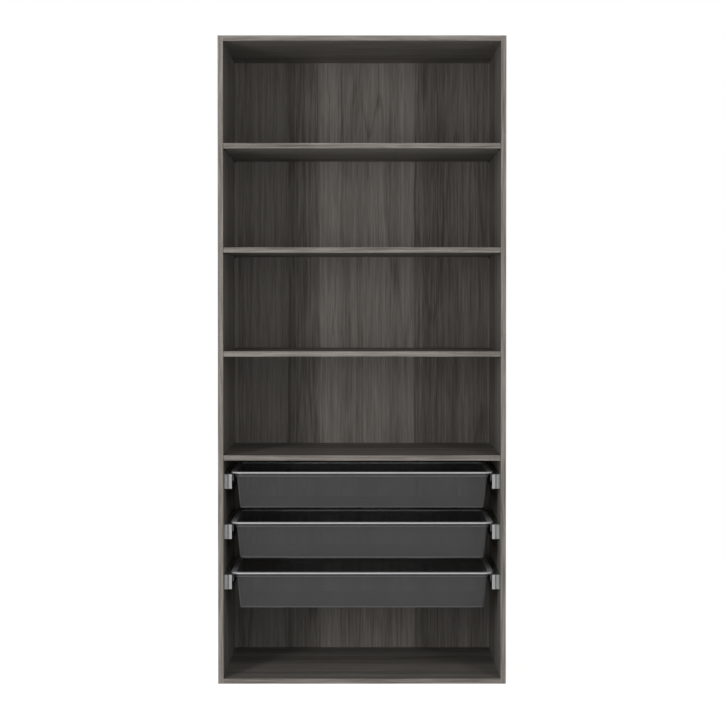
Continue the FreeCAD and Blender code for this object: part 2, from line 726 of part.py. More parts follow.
def basket_clips(level, clip_spots):
    """Bent tongues that stand inside the rim and keep the basket between its carriers."""
    clips = []
    for name, side in SIDES:
        under = f"{HALF_RUNNER} - carrier_gauge"
        tongue = f"{RUNNER_WIDTH} + clip_gap"
        points = (
            (f"{RUNNER_WIDTH} - clip_reach", under),
            (f"{RUNNER_WIDTH} - clip_reach", f"{under} - clip_gauge"),
            (tongue, f"{under} - clip_gauge"),
            (tongue, f"{HALF_RUNNER} - clip_drop"),
            (f"{tongue} + clip_gauge", f"{HALF_RUNNER} - clip_drop"),
            (f"{tongue} + clip_gauge", f"{FLANGE_UNDERSIDE} - clip_gap"),
            (tongue, f"{FLANGE_UNDERSIDE} - clip_gap"),
            (tongue, under),
        )
        for number, spot in enumerate(clip_spots, start=1):
            label = f"{LEVELS[level]}_{name}_clip_{number}"
            clips.append(rail(label, side, level, points, spot, "clip_length"))
    group(f"{LEVELS[level]}_basket_clips", clips)


def ball_cages(label, level, ball, strip, across, up):
    """Both runners' cages between two rails: strips above and below with a row of balls each."""
    pieces = []
    cage_front = f"{RAIL_FRONT} + cage_setback"
    pitch = f"cage_length / {BALLS_PER_ROW}"
    for name, side in SIDES:
        x = signed(side, f"{INNER_HALF} - {across}")
        for sense in (-1, 1):
            z = f"{runner_height_of(level)} + {sense} * {up}"
            pieces += copies(strip, [(x, cage_front, z, 0)])
            rows = [f"{cage_front} + {number + 0.5} * {pitch}" for number in range(BALLS_PER_ROW)]
            pieces += copies(ball, [(x, row, z, 0) for row in rows])
    group(label, pieces)


def cage_strip(label, ball_diameter):
    """A flat strip with a row of holes for balls."""
    item = body(label)
    half = f"({ball_diameter} / 2 + fit_play + cage_wall)"
    outline = rectangle(
        sketch(item, "XY_Plane", "-cage_gauge / 2"), f"-{half}", "0", half, "cage_length"
    )
    pad(item, outline, "cage_gauge")
    pitch = f"cage_length / {BALLS_PER_ROW}"
    drawing = circles(
        sketch(item, "XY_Plane", "cage_gauge / 2"),
        f"{ball_diameter} + 2 * fit_play",
        (("0", f"{pitch} / 2"),),
    )
    hole = pocket(item, drawing, "cage_gauge")
    row_of(item, hole, drawing, "V_Axis", f"{BALLS_PER_ROW - 1} * {pitch}", f"{BALLS_PER_ROW}")
    return item


def sphere(label, diameter):
    """A bearing ball."""
    item = doc.addObject("Part::Sphere", label)
    item.setExpression("Radius", tied(f"{diameter} / 2"))
    return item


def upright(edge):
    """True for a straight edge that stands up, leaning or not."""
    box_of_edge = edge.BoundBox
    return box_of_edge.ZLength > 0.9 * box_of_edge.DiagonalLength and len(edge.Vertexes) == 2


def rounded_block(label, level, margin, radius, top, depth):
    """A rounded rectangular block inside the rim's outline by a margin."""
    item = body(label, "0", RIM_FRONT, f"{runner_height_of(level)} + {top}")
    half = f"({RIM_HALF} - ({margin}))"
    outline = rectangle(
        sketch(item, "XY_Plane"), f"-{half}", margin, half, f"basket_length - ({margin})"
    )
    pad(item, outline, depth, True)
    fillet(item, radius, upright)
    return item


def cut(label, base, tool):
    """One solid less another."""
    item = doc.addObject("Part::Cut", label)
    item.Base = base
    item.Tool = tool
    return item


def band(label, level, margins, top, depth):
    """A rounded rectangular band between two margins, from a height downwards."""
    blocks = []
    for name, margin in zip(("outside", "inside"), margins):
        radius = f"rim_corner_radius - ({margin})"
        blocks.append(rounded_block(f"{label}_{name}", level, margin, radius, top, depth))
    return cut(label, *blocks)


def basket_rim(level):
    """A flange with a turned-down edge outside and a band round the tub inside."""
    name = f"{LEVELS[level]}_basket_rim"
    opening = "rim_flange + tub_play + tub_wall"
    flange = band(f"{name}_flange", level, ("0", opening), RIM_TOP, "rim_gauge")
    fillet(flange.Base, "rim_rounding", lambda edge: at_height(edge, flange.Base.Shape.BoundBox.ZMax))
    edge = band(f"{name}_edge", level, ("0", "rim_edge"), FLANGE_UNDERSIDE, "rim_height - rim_gauge")
    skirt_margins = ("rim_flange - skirt_gauge", "rim_flange")
    skirt = band(f"{name}_skirt", level, skirt_margins, FLANGE_UNDERSIDE, "skirt_height")
    whole = doc.addObject("Part::MultiFuse", name)
    whole.Shapes = [flange, edge, skirt]
    whole.Refine = True
    return keep(whole)


def at_height(edge, height):
    """True for an edge that lies level at a height."""
    return all(abs(vertex.Z - height) < 0.01 for vertex in edge.Vertexes)


def tub_block(label, level, margin, depth, inset, floor_radius):
    """A block with leaning sides and rounded edges, from the flange of the rim downwards."""
    top = f"{runner_height_of(level)} + {FLANGE_UNDERSIDE}"
    item = body(label, "0", RIM_FRONT, top)
    ends = (
        (margin, "0", f"rim_corner_radius - ({margin})"),
        (f"{margin} + tub_taper", f"-({depth})", f"tub_foot_radius - {inset}"),
    )
    outlines = []
    for edge, height, radius in ends:
        half = f"({RIM_HALF} - ({edge}))"
        drawing = sketch(item, "XY_Plane", height)
        far = f"(basket_length - ({edge}))"
        outlines.append(rounded_rectangle(drawing, half, f"({edge})", far, radius))
    loft = item.newObject("PartDesign::AdditiveLoft", label + "_loft")
    loft.Profile = outlines[0]
    loft.Sections = outlines[1:]
    loft.Ruled = True
    doc.recompute()
    floor = min(vertex.Z for vertex in item.Shape.Vertexes)
    fillet(item, floor_radius, lambda edge: at_height(edge, floor))
    return item


def tub(level):
    """The basket's tub: walls that lean in towards a flat floor, open at the top."""
    label = f"{LEVELS[level]}_basket_tub"
    margin = "rim_flange + tub_play"
    outside = tub_block(f"{label}_outside", level, margin, "tub_depth", "0", "tub_floor_radius")
    inside = tub_block(
        f"{label}_inside",
        level,
        f"{margin} + tub_wall",
        "tub_depth - tub_wall",
        "tub_wall",
        "tub_floor_radius - tub_wall",
    )
    return keep(cut(label, outside, inside))


def runner_screws():
    """Countersunk screws that hold the six outer rails."""
    head = "screw_head_diameter / 2"
    shank = "(system_hole_diameter / 2 - fit_play)"
    face = "outer_gauge - screw_recess"
    screw = turned("runner_screw", (
        (face, "0"),
        (face, head),
        ("0", shank),
        ("-screw_length + tip_chamfer", shank),
        ("-screw_length", f"{shank} - tip_chamfer"),
        ("-screw_length", "0"),
    ))
    spots = []
    for level in range(len(LEVELS)):
        for name, side in SIDES:
            for row in runner_screw_rows():
                along = f"{RAIL_FRONT} + {row}"
                spots.append((signed(side, INNER_HALF), along, runner_height_of(level), facing(side)))
    group("runner_screws", copies(screw, spots))


def rivets(level, rivet):
    """Rivets that join both inner rails of a basket to its carriers."""
    spots = []
    for name, side in SIDES:
        x = signed(side, f"{INNER_HALF} - {INNER_WEB}")
        for row in rivet_rows():
            spots.append((x, f"{CARRIER_FRONT} + {row}", runner_height_of(level), facing(side)))
    group(f"{LEVELS[level]}_carrier_rivets", copies(rivet, spots))


def rivet_shape():
    """A rivet with a flat head at each end."""
    grip = "(race_gauge + carrier_gauge)"
    head = "rivet_head_diameter / 2"
    shank = "rivet_diameter / 2"
    return turned("carrier_rivet", (
        ("-rivet_head_height", "0"),
        ("-rivet_head_height", head),
        ("0", head),
        ("0", shank),
        (grip, shank),
        (grip, head),
        (f"{grip} + rivet_head_height", head),
        (f"{grip} + rivet_head_height", "0"),
    ))


def carcass():
    """The fixed boards and everything that joins them."""
    for name, side in SIDES:
        side_panel(name, side)
    cross_panel("top_panel", "frame_height - panel_thickness", "0", True)
    cross_panel("bottom_panel", "0", "panel_thickness", False)
    back_panel()
    shelves()
    edging()
    corner_joints()
    runner_screws()


def baskets():
    """Three baskets, each with its pair of runners."""
    rivet = rivet_shape()
    outer_ball = sphere("outer_bearing_ball", "outer_ball")
    inner_ball = sphere("inner_bearing_ball", "inner_ball")
    outer_strip = cage_strip("outer_cage_strip", "outer_ball")
    inner_strip = cage_strip("inner_cage_strip", "inner_ball")
    straight = "rim_corner_radius + clip_inset"
    clip_spots = (
        f"{RIM_FRONT} + {straight}",
        f"{RIM_FRONT} + basket_length - ({straight}) - clip_length",
    )
    for level, level_name in enumerate(LEVELS):
        for name, side in SIDES:
            outer_rail(name, side, level)
            middle_rail(name, side, level)
            inner_rail(name, side, level)
            carrier(name, side, level)
        ball_cages(
            f"{level_name}_outer_ball_cages", level, outer_ball, outer_strip,
            OUTER_BALL_LINE, OUTER_BALL_ROW,
        )
        ball_cages(
            f"{level_name}_inner_ball_cages", level, inner_ball, inner_strip,
            INNER_BALL_LINE, INNER_BALL_ROW,
        )
        rivets(level, rivet)
        end_caps(level)
        basket_clips(level, clip_spots)
        basket_rim(level)
        tub(level)


def write_parts():
    """Check every object and write each sub-part to its file."""
    doc.recompute()
    for item in doc.Objects:
        if "Invalid" in item.State or "Error" in item.State:
            raise RuntimeError(f"{item.Label} failed: {item.State}")
    for item in nodes:
        if item.Shape.isNull() or not item.Shape.isValid():
            raise RuntimeError(f"{item.Label} has no valid shape")
    os.makedirs("parts", exist_ok=True)
    for item in nodes:
        item.Shape.exportStep(f"parts/{item.Label}.step")
        print(item.Label, len(item.Shape.Solids), round(item.Shape.Volume))


carcass()
baskets()
write_parts()
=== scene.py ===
"""Open wardrobe frame: oak-finish boards, metal runners and three pull-out mesh baskets.

Lengths are in metres. The frame stands on z = 0 with its open front towards -Y.
"""
import bpy
import math
from bpy.props import FloatProperty, FloatVectorProperty, IntProperty, PointerProperty
from mathutils import Matrix, Vector


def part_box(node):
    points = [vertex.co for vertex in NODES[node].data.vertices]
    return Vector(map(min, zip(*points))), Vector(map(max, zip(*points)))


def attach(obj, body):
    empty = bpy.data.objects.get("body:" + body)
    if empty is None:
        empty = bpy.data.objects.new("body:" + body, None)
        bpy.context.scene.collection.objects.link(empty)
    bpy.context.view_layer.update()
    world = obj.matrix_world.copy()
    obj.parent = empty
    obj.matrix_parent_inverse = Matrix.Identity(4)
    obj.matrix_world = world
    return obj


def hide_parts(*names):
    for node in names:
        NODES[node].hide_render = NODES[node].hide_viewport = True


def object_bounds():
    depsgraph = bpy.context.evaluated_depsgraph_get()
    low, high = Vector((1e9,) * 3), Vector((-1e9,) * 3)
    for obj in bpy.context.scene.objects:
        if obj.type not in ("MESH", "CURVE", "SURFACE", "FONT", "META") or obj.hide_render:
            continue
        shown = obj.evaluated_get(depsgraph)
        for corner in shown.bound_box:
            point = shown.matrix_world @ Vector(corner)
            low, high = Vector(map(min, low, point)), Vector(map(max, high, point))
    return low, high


bl_info = {
    "name": "Wardrobe Frame",
    "version": (1, 0, 0),
    "blender": (4, 5, 0),
    "location": "View3D > Sidebar > Wardrobe",
    "description": "Finishes an open wardrobe frame's boards and runners and makes its mesh baskets",
    "category": "Object",
}

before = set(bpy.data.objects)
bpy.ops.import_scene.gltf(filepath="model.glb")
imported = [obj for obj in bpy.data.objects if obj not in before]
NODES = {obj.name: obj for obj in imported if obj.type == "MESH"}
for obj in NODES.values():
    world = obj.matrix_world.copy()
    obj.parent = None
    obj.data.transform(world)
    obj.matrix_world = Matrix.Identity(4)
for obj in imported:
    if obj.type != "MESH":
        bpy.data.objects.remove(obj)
CAD_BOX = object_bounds()
LEVELS = ("upper", "middle", "lower")
SIDES = ("left", "right")
TUB_LOW, TUB_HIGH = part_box("upper_basket_tub")
RIM_LOW, RIM_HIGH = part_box("upper_basket_rim")

# Edging strips farther from the middle than this stand upright.
STRIP_ASIDE = 0.4815
# Depth behind the front of a runner cap at which its groove starts, and with it the groove's painted
# shade.
CAP_GROOVE = 0.0018
# Corner of the wire round the floor of a tub, and its facets.
SEAM_CORNER, SEAM_CUTS = 0.003, 4
# Facets of a mesh strand.
STRAND_SIDES = 8
# Fold of a hem, as a share of its depth, and its facets.
HEM_FOLD, HEM_CUTS = 0.42, 3
FLOOR_SIZE = 60
SENSOR_WIDTH = 36

# Lengths of the oak's marks along the grain.
OAK_RUN = {
    "wander": 0.55, "fine": 0.17, "streak": 1.8, "fibre": 0.05,
    "pore": 0.014, "vein": 1.3, "figure": 0.09,
}
# What each kind of mark adds to the tone of the oak, which is OAK_TONE without them.
OAK_TONE = 0.53
OAK_SHARE = {"fine": 1.10, "streak": 0.60, "band": 0.22, "fibre": 0.30, "figure": 0.16, "vein": 0.17}
# Breadth over which the grain wanders as one.
OAK_DRIFT = 0.09
# Sideways lean of the figure to its length.
OAK_SLANT = 0.22


def shade(red, green, blue):
    """A screen colour from 0 to 255 as the linear values that a shader takes."""
    return tuple(
        part / 12.92 if part <= 0.04045 else ((part + 0.055) / 1.055) ** 2.4
        for part in (red / 255, green / 255, blue / 255)
    )


def dim(tint, share):
    """A tint at a share of its brightness."""
    return tuple(part * share for part in tint)


def colour(name, description, default):
    """A colour property."""
    return FloatVectorProperty(
        name=name, description=description, default=default, subtype="COLOR", size=3, min=0, max=1
    )


def length(name, description, default):
    """A length property."""
    return FloatProperty(
        name=name, description=description, default=default, unit="LENGTH", precision=4
    )


def amount(name, description, default):
    """A plain number's property."""
    return FloatProperty(name=name, description=description, default=default, min=0)


def power(name, description, default):
    """A lamp's power property."""
    return FloatProperty(name=name, description=description, default=default, min=0, unit="POWER")


class OakFinish(bpy.types.PropertyGroup):
    """Colours and grain of the printed oak."""

    pale: colour("Pale grain", "Lightest streaks", shade(145, 141, 135))
    middle: colour("Middle grain", "Most of the surface", shade(122, 118, 112))
    dark: colour("Dark grain", "Darkest streaks", shade(88, 84, 77))
    streak: length("Streak", "Width of a common streak", 0.0046)
    band: length("Band", "Common width of a band of one tone", 0.058)
    vein: length("Vein", "Common distance between long dark veins", 0.105)
    wander: length("Wander", "Sideways wander of the grain", 0.011)
    # The edging is the same oak print drawn paler than the boards: painted light, a lit copy of the
    # print for the front edges, where the light falls.
    edging_painted_light: FloatVectorProperty(
        name="Edging", description="Edging paler than the boards, in red, green and blue",
        default=(1.48, 1.44, 1.46), size=3, min=0,
    )
    pore: length("Pore", "Width of an open pore", 0.0006)
    roughness: amount("Roughness", "Dullness of the print", 0.55)


class MetalFinish(bpy.types.PropertyGroup):
    """Colours of the metal and wooden fittings."""

    zinc: colour("Zinc", "Plated rails and carriers", shade(190, 192, 194))
    bright: colour("Bright steel", "Bolts, screws, rivets and balls", shade(214, 214, 215))
    # The shelf pins are drawn dark.
    pin: colour("Pin", "Dark shelf pins", shade(72, 72, 74))
    cap: colour("Cap", "Front caps of the runners", shade(176, 177, 178))
    cam: colour("Cam", "Cast cam locks", shade(180, 181, 183))
    beech: colour("Beech", "Wooden dowels", shade(207, 172, 128))


class BasketMesh(bpy.types.PropertyGroup):
    """Sizes and colours of the baskets."""

    paint: colour("Paint", "Rest of the rim", shade(82, 82, 83))
    strand_paint: colour("Strand paint", "Mesh strands", shade(86, 86, 87))
    # The rim's pale top is a painted highlight: the light caught by its rolled edge, drawn as a pale
    # tint over the top of the turned-down edge.
    rim_paint_and_highlight: colour("Rim paint", "Pale top of the rim", shade(226, 226, 228))
    # The hem is the basket's paint drawn lighter: a painted highlight where the hem catches the light.
    hem_paint_and_highlight: colour("Hem paint", "Folded hem", shade(118, 118, 119))
    rim_highlight_height: length("Rim edge", "Pale top of the rim's turned-down edge", 0.0044)
    diamond: length("Diamond", "Width of a mesh opening, middle to middle", 0.00715)
    strand: length("Strand", "Width of a mesh strand", 0.0019)
    gauge: length("Gauge", "Thickness of a mesh strand", 0.0028)
    corner: length("Corner", "Radius of the tub's corners at the top", 0.0188)
    lean: length("Lean", "Wall in towards the floor", 0.016)
    sheet: length("Sheet", "Depth taken up by the crossing strands", 0.0034)
    seam: length("Seam", "Radius of the wire where walls and floor meet", 0.0015)
    hem_height: length("Hem height", "Folded hem under the rim", 0.0038)
    hem_depth: length("Hem depth", "Folded hem, across its fold", 0.0026)
    hem_inset: length("Hem inset", "Hem in from the outside of the rim", 0.0150)
    hem_corner: length("Hem corner", "Outer corner of the hem", 0.0210)
    hem_drop: length("Hem drop", "Underside of the hem below the rim's top", 0.0175)
    corner_cuts: IntProperty(
        name="Corner cuts", description="Facets of a rounded corner", default=12, min=3
    )


class StudioStage(bpy.types.PropertyGroup):
    """Floor, light and camera."""

    floor: colour("Floor", "Plain pale floor", shade(240, 240, 240))
    glow: amount("Floor glow", "Lift of the floor towards white", 0.80)
    dome: amount("Dome", "Strength of the white surround", 0.23)
    left_power: power("Left", "Power of the left strip", 65.0)
    right_power: power("Right", "Power of the right strip", 37.0)
    strip_width: length("Strip width", "Width of a strip lamp", 0.70)
    strip_height: length("Strip height", "Height of a strip lamp", 3.4)
    strip_middle: length("Strip middle", "Middle of a strip lamp above the floor", 1.75)
    strip_aside: length("Strip aside", "Strip lamp to the side of the middle", 2.25)
    strip_ahead: length("Strip ahead", "Strip lamp in front of the middle", 3.88)
    camera_distance: length("Camera distance", "Camera in front of the frame's front", 6.07)
    camera_height: length("Camera height", "Camera above the floor", 1.312)
    camera_tilt: FloatProperty(
        name="Camera tilt", description="Camera down from level",
        default=math.radians(0.80), subtype="ANGLE",
    )
    lens: amount("Lens", "Focal length in millimetres", 87.04)
    shift: FloatProperty(
        name="Shift", description="Picture moved up, as a share of its width", default=-0.0429
    )


class Wire:
    """One shader socket. Arithmetic on it adds Math nodes."""

    def __init__(self, finish, socket):
        self.finish = finish
        self.socket = socket

    def output(self, name):
        """Another output of the same node."""
        return Wire(self.finish, self.socket.node.outputs[name])

    def math(self, operation, first, second):
        """A Math node."""
        return self.finish.node("ShaderNodeMath", {"operation": operation}, {0: first, 1: second})

    def __add__(self, other):
        return self.math("ADD", self, other)

    def __radd__(self, other):
        return self.math("ADD", other, self)

    def __sub__(self, other):
        return self.math("SUBTRACT", self, other)

    def __rsub__(self, other):
        return self.math("SUBTRACT", other, self)

    def __mul__(self, other):
        return self.math("MULTIPLY", self, other)

    def __rmul__(self, other):
        return self.math("MULTIPLY", other, self)

    def __gt__(self, other):
        return self.math("GREATER_THAN", self, other)

    def __abs__(self):
        return self.math("ABSOLUTE", self, 0.0)


class Finish:
    """The node tree of one material or of the world."""

    def __init__(self, owner):
        self.owner = owner
        owner.use_nodes = True
        self.tree = owner.node_tree
        self.tree.nodes.clear()

    def node(self, kind, settings=None, sockets=None, out=0):
        """Any node: its settings first, then the values or links of its sockets."""
        item = self.tree.nodes.new(kind)
        for name, value in (settings or {}).items():
            if name == "stops":
                ramp = item.color_ramp
                while len(ramp.elements) < len(value):
                    ramp.elements.new(0.5)
                for element, (place, tint) in zip(ramp.elements, value):
                    element.position = place
                    element.color = (*tint, 1)
            else:
                setattr(item, name, value)
        for name, value in (sockets or {}).items():
            self.feed(item.inputs[name], value)
        return Wire(self, item.outputs[out]) if item.outputs else None

    def feed(self, socket, value):
        """Link a wire to a socket, or set the socket's own value."""
        if isinstance(value, Wire):
            self.tree.links.new(value.socket, socket)
        elif socket.type == "RGBA" and len(value) == 3:
            socket.default_value = (*value, 1)
        else:
            socket.default_value = value

    def place(self):
        """Places on the object in metres."""
        return self.node("ShaderNodeTexCoord", None, None, "Object")

    def seen(self):
        """1 for the rays that show the white surround: camera, mirror and clear rays."""
        rays = self.node("ShaderNodeLightPath", None, None, "Is Camera Ray")
        return rays + rays.output("Is Glossy Ray") + rays.output("Is Transmission Ray")

    def noise(self, place, scale, detail=2.0, roughness=0.5):
        """Cloudy values from 0 to 1."""
        return self.node(
            "ShaderNodeTexNoise",
            None,
            {"Vector": place, "Scale": scale, "Detail": detail, "Roughness": roughness},
        )

    def stretch(self, place, factors):
        """A place with each axis scaled."""
        return self.node("ShaderNodeVectorMath", {"operation": "MULTIPLY"}, {0: place, 1: factors})

    def mix(self, factor, first, second):
        """One colour over another."""
        return self.node("ShaderNodeMix", {"data_type": "RGBA"}, {0: factor, 6: first, 7: second}, 2)

    def ramp(self, factor, stops):
        """Colours along a value."""
        return self.node("ShaderNodeValToRGB", {"stops": stops}, {0: factor})

    def bump(self, height, distance, strength):
        """A surface raised by a value."""
        return self.node(
            "ShaderNodeBump", None, {"Height": height, "Distance": distance, "Strength": strength}
        )

    def surface(self, sockets):
        """The principled shader and the output."""
        shader = self.node("ShaderNodeBsdfPrincipled", None, sockets)
        self.node("ShaderNodeOutputMaterial", None, {"Surface": shader})
        return self.owner


def new_finish(name):
    """A finish for a new material."""
    return Finish(bpy.data.materials.new(name))


def oak(name, grain, sizes, painted_light_lift=(1, 1, 1), broad=1.0, contrast=1.0):
    """Oak print: bands, streaks, veins and pores that run along the grain."""
    finish = new_finish(name)
    place = finish.place()
    x = finish.node("ShaderNodeSeparateXYZ", None, {0: place})
    y, z = x.output("Y"), x.output("Z")
    if grain == "upright":
        across, along = x + y, z
    elif grain == "level":
        across, along = y + z, x
    else:
        upright = abs(x) > STRIP_ASIDE
        across, along = y + z + upright * (x - z), x + upright * (z - x)

    def cells(wide, long, seed, detail=1.0, slant=0.0):
        """Noise from 0 to 1 in cells of one width and length."""
        spot = {0: (across + along * slant) * (1 / wide), 1: along * (1 / long), 2: seed}
        return finish.noise(finish.node("ShaderNodeCombineXYZ", None, spot), 1.0, detail, 0.55)

    def ramp(value, low, high):
        """0 up to the low value, 1 from the high one."""
        return finish.node(
            "ShaderNodeMapRange", {"interpolation_type": "SMOOTHSTEP"}, {0: value, 1: low, 2: high}
        )

    across = across + (cells(OAK_DRIFT, OAK_RUN["wander"], 0.5) - 0.5) * sizes.wander
    fine = cells(sizes.streak, OAK_RUN["fine"], 1.5, 2.0)
    streaks = cells(sizes.streak * 2.3, OAK_RUN["streak"], 2.5, 1.5)
    fibres = cells(sizes.pore * 1.6, OAK_RUN["fibre"], 4.5)
    pores = ramp(cells(sizes.pore, OAK_RUN["pore"], 5.5), 0.60, 0.72)
    cell = finish.node(
        "ShaderNodeTexVoronoi",
        {"voronoi_dimensions": "1D"},
        {"W": across * (1 / sizes.band), "Scale": 1.0},
        "W",
    )
    bands = finish.node("ShaderNodeTexWhiteNoise", {"noise_dimensions": "1D"}, {"W": cell}, "Value")
    veins = 1.0 - ramp(abs(cells(sizes.vein, OAK_RUN["vein"], 7.5) - 0.5), 0.0, 0.025)
    figure = cells(sizes.streak * 0.9, OAK_RUN["figure"], 8.5, 1.0, OAK_SLANT) * ramp(bands, 0.60, 0.75)
    tone = (
        OAK_TONE
        + (fine - 0.5) * (OAK_SHARE["fine"] * contrast)
        + (streaks - 0.5) * OAK_SHARE["streak"]
        + (bands - 0.5) * (OAK_SHARE["band"] * broad)
        + (fibres - 0.5) * OAK_SHARE["fibre"]
        + (figure - 0.3) * OAK_SHARE["figure"]
        - veins * (OAK_SHARE["vein"] * broad)
    )
    # A lift above 1 draws the whole print paler, as painted light.
    dark, middle, pale = (
        tuple(min(1, part * rise) for part, rise in zip(tint, painted_light_lift))
        for tint in (sizes.dark, sizes.middle, sizes.pale)
    )
    print_colour = finish.ramp(tone, ((0.14, dark), (0.5, middle), (0.84, pale)))
    dark_pore = pores * (veins * 0.35 + 0.30)
    relief = fibres * 0.3 - pores
    return finish.surface({
        "Base Color": finish.mix(dark_pore, print_colour, dim(dark, 0.6)),
        "Roughness": sizes.roughness + (fibres - 0.5) * 0.14 + pores * 0.12,
        "Normal": finish.bump(relief, distance=0.00025, strength=0.5),
        "Specular IOR Level": 0.25,
    })


def rolled_metal(name, tint, roughness, spread, along=(1, 1, 1)):
    """Plated sheet with faint rolling lines and cloudy plating."""
    finish = new_finish(name)
    place = finish.place()
    lines = finish.noise(finish.stretch(place, along), scale=900.0, roughness=0.6)
    clouds = finish.noise(place, scale=45.0, detail=3.0, roughness=0.55)
    return finish.surface({
        "Base Color": finish.mix(clouds, dim(tint, 0.86), tuple(tint)),
        "Metallic": 1.0,
        "Roughness": roughness + (clouds - 0.5) * spread + (lines - 0.5) * 0.10,
        "Normal": finish.bump(lines, distance=0.00008, strength=0.4),
    })


def satin_cap(name, tint, floor):
    """Satin cap metal with fine upright brushing, and painted shade in the groove: darker behind a
    depth.
    """
    finish = new_finish(name)
    place = finish.place()
    lines = finish.noise(finish.stretch(place, (1, 1, 0.02)), scale=2200.0, roughness=0.6)
    clouds = finish.noise(place, scale=90.0)
    base = finish.mix(clouds, dim(tint, 0.90), tuple(tint))
    # Painted shade: behind this depth the cap is drawn at 30% of its tint.
    groove = finish.node("ShaderNodeSeparateXYZ", None, {0: place}, "Y") > floor
    return finish.surface({
        "Base Color": finish.mix(groove, base, dim(tint, 0.30)),
        "Metallic": 0.35,
        "Roughness": 0.34 + (lines - 0.5) * 0.16,
        "Normal": finish.bump(lines, distance=0.00006, strength=0.4),
    })


def cast_metal(name, tint):
    """Cast metal with a fine dull grain."""
    finish = new_finish(name)
    place = finish.place()
    pits = finish.noise(place, scale=1400.0, detail=3.0, roughness=0.6)
    clouds = finish.noise(place, scale=160.0)
    return finish.surface({
        "Base Color": finish.mix(clouds, dim(tint, 0.80), tuple(tint)),
        "Metallic": 0.9,
        "Roughness": 0.40 + pits * 0.22,
        "Normal": finish.bump(pits, distance=0.00015, strength=0.5),
    })


def beech(name, tint):
    """Turned beech with short darker flecks along X."""
    finish = new_finish(name)
    place = finish.place()
    fibres = finish.noise(finish.stretch(place, (0.06, 1, 1)), scale=1500.0, detail=3.0, roughness=0.6)
    flecks = finish.noise(finish.stretch(place, (0.2, 1, 1)), scale=2600.0, detail=1.0) > 0.64
    base = finish.mix(fibres, dim(tint, 0.72), tuple(tint))
    return finish.surface({
        "Base Color": finish.mix(flecks * 0.5, base, dim(tint, 0.45)),
        "Roughness": 0.62 + (fibres - 0.5) * 0.2,
        "Normal": finish.bump(fibres, distance=0.0002, strength=0.5),
    })


def satin_paint(name, tint, roughness, edge=None, gloss=0.25):
    """Powder coat with a fine orange-peel surface.

    An edge is a painted highlight: a paler tint at the top, and the share of the height below it.
    """
    finish = new_finish(name)
    place = finish.place()
    peel = finish.noise(place, scale=1100.0)
    clouds = finish.noise(place, scale=30.0, detail=3.0, roughness=0.55)
    tint = tuple(tint)
    # Painted highlight: the top share of the piece's height is drawn in the pale tint.
    if edge:
        pale, share = edge
        height = finish.node("ShaderNodeSeparateXYZ", None, {0: place.output("Generated")}, "Z")
        tint = finish.mix(height > share, tint, tuple(pale))
    fade = finish.ramp(clouds, ((0.2, (0.86,) * 3), (0.8, (1.0,) * 3)))
    base = finish.node(
        "ShaderNodeMix", {"data_type": "RGBA", "blend_type": "MULTIPLY"}, {0: 1.0, 6: tint, 7: fade}, 2
    )
    return finish.surface({
        "Base Color": base,
        "Roughness": roughness + (peel - 0.5) * 0.14 + (clouds - 0.5) * 0.08,
        "Normal": finish.bump(peel, distance=0.00012, strength=0.3),
        "Specular IOR Level": gloss,
    })


def paint_nodes(names, material):
    """Give CAD nodes one material."""
    for name in names:
        slots = NODES[name].material_slots
        if not slots:
            NODES[name].data.materials.append(material)
        for slot in slots:
            slot.material = material


def select_only(item):
    """Make one object the only selected and the active one."""
    if bpy.context.mode != "OBJECT":
        bpy.ops.object.mode_set(mode="OBJECT")
    bpy.ops.object.select_all(action="DESELECT")
    item.select_set(True)
    bpy.context.view_layer.objects.active = item


def edit(item):
    """Open an object for editing with all of it selected."""
    select_only(item)
    bpy.ops.object.mode_set(mode="EDIT")
    bpy.ops.mesh.select_all(action="SELECT")


def settle(item):
    """Close the object's editing and put its place into its mesh."""
    select_only(item)
    bpy.ops.object.transform_apply(location=True, rotation=True, scale=True)


def apply_modifier(item, kind, **settings):
    """Add a modifier, set it and apply it."""
    select_only(item)
    bpy.ops.object.modifier_add(type=kind)
    modifier = item.modifiers[-1]
    for name, value in settings.items():
        setattr(modifier, name, value)
    bpy.ops.object.modifier_apply(modifier=modifier.name)


def slice_at(point, normal, drop_inner=False, drop_outer=False):
    """Cut everything in the open mesh with a plane, and fill the cut where one side goes."""
    bpy.ops.mesh.select_all(action="SELECT")
    bpy.ops.mesh.bisect(
        plane_co=point, plane_no=normal, use_fill=drop_inner or drop_outer,
        clear_inner=drop_inner, clear_outer=drop_outer,
    )


def strand_rows(wide, high, pitch, sizes):
    """A flat sheet of crossing strands in the XZ plane, from the origin to its width and height."""
    rows = []
    run = high + 2 * pitch
    count = math.ceil((wide + run) / pitch) + 2
    for turn in (1, -1):
        bpy.ops.object.select_all(action="DESELECT")
        bpy.ops.mesh.primitive_cylinder_add(vertices=STRAND_SIDES, radius=0.5, depth=1)
        row = bpy.context.object
        edit(row)
        bpy.ops.transform.resize(value=(sizes.strand, sizes.gauge, run * math.sqrt(2)))
        bpy.ops.transform.rotate(
            value=turn * math.pi / 4, orient_axis="Y", center_override=(0, 0, 0)
        )
        bpy.ops.transform.translate(
            value=(-run / 2 - pitch * 0.5, turn * (sizes.gauge - sizes.sheet) / 2, high / 2)
        )
        bpy.ops.object.mode_set(mode="OBJECT")
        apply_modifier(
            row, "ARRAY", count=count, use_relative_offset=False, use_constant_offset=True,
            constant_offset_displace=(pitch, 0, 0),
        )
        rows.append(row)
    select_only(rows[0])
    rows[1].select_set(True)
    bpy.ops.object.join()
    sheet = rows[0]
    edit(sheet)
    slice_at((0, 0, 0), (0, 0, 1), drop_inner=True)
    slice_at((0, 0, high), (0, 0, 1), drop_outer=True)
    slice_at((0, 0, 0), (1, 0, 0), drop_inner=True)
    slice_at((wide, 0, 0), (1, 0, 0), drop_outer=True)
    bpy.ops.object.mode_set(mode="OBJECT")
    return sheet


